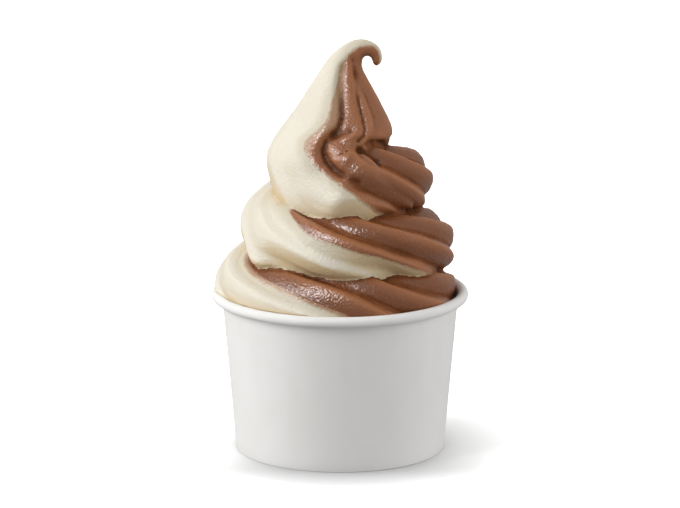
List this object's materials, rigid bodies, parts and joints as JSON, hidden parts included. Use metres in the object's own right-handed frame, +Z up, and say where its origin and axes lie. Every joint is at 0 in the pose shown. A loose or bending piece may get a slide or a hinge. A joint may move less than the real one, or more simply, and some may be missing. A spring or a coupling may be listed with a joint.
{
  "type": "soft serve cup",
  "caption": "Vanilla and chocolate twist soft serve, piped in a rising coil with a hooked tip, in a plain white paper cup with a rolled rim.",
  "frame": {"origin": "centre of the cup's foot ring, on the surface it stands on", "axes": "+Z up along the cup's axis; -Y is the front, with the chocolate side towards +X and the vanilla side towards -X"},
  "size_m": [0.095, 0.095, 0.1534],
  "materials": {
    "cup_paper": "matt white coated board with a faint grain",
    "vanilla_ice": "soft satin cream, slightly moist, fine ice grain",
    "chocolate_ice": "soft satin milk chocolate brown, slightly moist, fine ice grain"
  },
  "bodies": {
    "root": {"cup_wall": "cup_paper", "cup_base": "cup_paper", "vanilla": "vanilla_ice", "chocolate": "chocolate_ice"}
  },
  "joints": []
}
